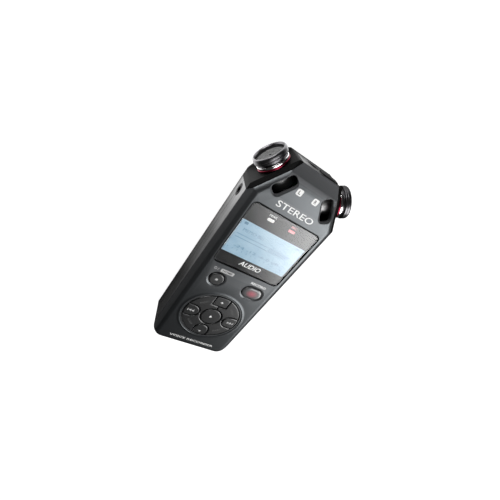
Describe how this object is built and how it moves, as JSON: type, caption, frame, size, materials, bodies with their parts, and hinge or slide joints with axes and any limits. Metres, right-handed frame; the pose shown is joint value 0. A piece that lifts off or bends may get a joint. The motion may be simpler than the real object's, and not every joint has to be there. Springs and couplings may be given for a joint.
{
  "type": "handheld voice recorder",
  "caption": "Pocket voice recorder with angled stereo microphones on its top corners, a backlit display, a round keypad, a battery hatch, a card door and a tripod socket.",
  "frame": {"origin": "centre of the bounding box, on the rear face it lies on", "axes": "+Z out of the front face, +Y along the length towards the microphones, +X across"},
  "size_m": [0.0618, 0.1401, 0.0264],
  "materials": {
    "cover_plastic": "satin charcoal",
    "case_plastic": "satin black",
    "battery_cover_plastic": "satin black",
    "card_door_plastic": "satin black",
    "mount_plastic": "matte black",
    "damper_rubber": "matte black",
    "barrel_metal": "polished",
    "capsule_metal": "satin",
    "ring_red": "gloss crimson",
    "ring_silver": "polished",
    "hood_metal": "gunmetal gloss",
    "grille_mesh": "woven mesh",
    "window_acrylic": "clear pane with printed border",
    "lcd_glass": "backlit blue grey",
    "backlight_acrylic": "diffuse white",
    "frame_plastic": "black",
    "ribbon_film": "amber film",
    "guide_acrylic": "clear",
    "lamp_epoxy": "clear",
    "button_plastic": "satin dark grey",
    "record_cap": "silver grey",
    "record_red": "red",
    "key_plastic": "satin dark grey",
    "mat_rubber": "matte",
    "dome_steel": "satin",
    "board_laminate": "green solder mask",
    "chip_black": "matte",
    "capacitor_can": "satin",
    "socket_plastic": "black",
    "socket_steel": "satin",
    "card_black": "black",
    "pin_steel": "satin",
    "speaker_cone": "paper cone in a black basket",
    "cell_jacket": "printed jacket",
    "contact_plate": "nickel plate",
    "tray_plastic": "black",
    "insert_brass": "turned",
    "screw_steel": "black zinc"
  },
  "bodies": {
    "case": {"front_cover": "cover_plastic", "upper_case": "case_plastic", "lower_case": "case_plastic", "mic_mount_left": "mount_plastic", "mic_damper_left": "damper_rubber", "mic_barrel_left": "barrel_metal", "mic_capsule_left": "capsule_metal", "mic_red_ring_left": "ring_red", "mic_silver_ring_left": "ring_silver", "mic_hood_left": "hood_metal", "mic_grille_left": "grille_mesh", "mic_mount_right": "mount_plastic", "mic_damper_right": "damper_rubber", "mic_barrel_right": "barrel_metal", "mic_capsule_right": "capsule_metal", "mic_red_ring_right": "ring_red", "mic_silver_ring_right": "ring_silver", "mic_hood_right": "hood_metal", "mic_grille_right": "grille_mesh", "display_window": "window_acrylic", "lcd_panel": "lcd_glass", "lcd_backlight": "backlight_acrylic", "lcd_frame": "frame_plastic", "lcd_ribbon": "ribbon_film", "light_guides": "guide_acrylic", "indicator_lamps": "lamp_epoxy", "keypad_mat": "mat_rubber", "switch_domes": "dome_steel", "main_board": "board_laminate", "processor_chip": "chip_black", "small_chips": "chip_black", "capacitors": "capacitor_can", "headphone_jack": "socket_plastic", "mic_jack": "socket_plastic", "usb_port": "socket_steel", "card_socket": "socket_steel", "memory_card": "card_black", "card_door_pin": "pin_steel", "speaker": "speaker_cone", "battery_cells": "cell_jacket", "battery_contacts": "contact_plate", "battery_spring": "contact_plate", "battery_tray": "tray_plastic", "tripod_insert": "insert_brass", "case_screws": "screw_steel", "board_screws": "screw_steel"},
    "home_button_body": {"home_button": "button_plastic"},
    "record_button_body": {"record_button": "record_cap", "record_lens": "record_red"},
    "battery_cover_body": {"battery_cover": "battery_cover_plastic"},
    "card_door_body": {"card_door": "card_door_plastic"},
    "key_up_body": {"key_up": "key_plastic"},
    "key_down_body": {"key_down": "key_plastic"},
    "key_back_body": {"key_back": "key_plastic"},
    "key_forward_body": {"key_forward": "key_plastic"},
    "key_play_body": {"key_play": "key_plastic"},
    "key_menu_body": {"key_menu": "key_plastic"},
    "key_speed_body": {"key_speed": "key_plastic"},
    "key_loop_body": {"key_loop": "key_plastic"},
    "key_mark_body": {"key_mark": "key_plastic"}
  },
  "joints": [
    {"name": "home_press", "type": "slide", "parent": "case", "child": "home_button_body", "axis": [0, 0, -1], "range_m": [0, 0.0005], "stiffness_N_per_m": 300},
    {"name": "record_press", "type": "slide", "parent": "case", "child": "record_button_body", "axis": [0, 0, -1], "range_m": [0, 0.0005], "stiffness_N_per_m": 300},
    {"name": "key_up_press", "type": "slide", "parent": "case", "child": "key_up_body", "axis": [0, 0, -1], "range_m": [0, 0.0005], "stiffness_N_per_m": 300},
    {"name": "key_down_press", "type": "slide", "parent": "case", "child": "key_down_body", "axis": [0, 0, -1], "range_m": [0, 0.0005], "stiffness_N_per_m": 300},
    {"name": "key_back_press", "type": "slide", "parent": "case", "child": "key_back_body", "axis": [0, 0, -1], "range_m": [0, 0.0005], "stiffness_N_per_m": 300},
    {"name": "key_forward_press", "type": "slide", "parent": "case", "child": "key_forward_body", "axis": [0, 0, -1], "range_m": [0, 0.0005], "stiffness_N_per_m": 300},
    {"name": "key_play_press", "type": "slide", "parent": "case", "child": "key_play_body", "axis": [0, 0, -1], "range_m": [0, 0.0005], "stiffness_N_per_m": 300},
    {"name": "key_menu_press", "type": "slide", "parent": "case", "child": "key_menu_body", "axis": [0, 0, -1], "range_m": [0, 0.0005], "stiffness_N_per_m": 300},
    {"name": "key_speed_press", "type": "slide", "parent": "case", "child": "key_speed_body", "axis": [0, 0, -1], "range_m": [0, 0.0005], "stiffness_N_per_m": 300},
    {"name": "key_loop_press", "type": "slide", "parent": "case", "child": "key_loop_body", "axis": [0, 0, -1], "range_m": [0, 0.0005], "stiffness_N_per_m": 300},
    {"name": "key_mark_press", "type": "slide", "parent": "case", "child": "key_mark_body", "axis": [0, 0, -1], "range_m": [0, 0.0005], "stiffness_N_per_m": 300},
    {"name": "battery_cover_slide", "type": "slide", "parent": "case", "child": "battery_cover_body", "axis": [0, -1, 0], "range_m": [0, 0.062]},
    {"name": "card_door_hinge", "type": "hinge", "parent": "case", "child": "card_door_body", "pos_m": [0.0264, -0.006, 0.0164], "axis": [0, 0, -1], "range_deg": [0, 100]}
  ]
}
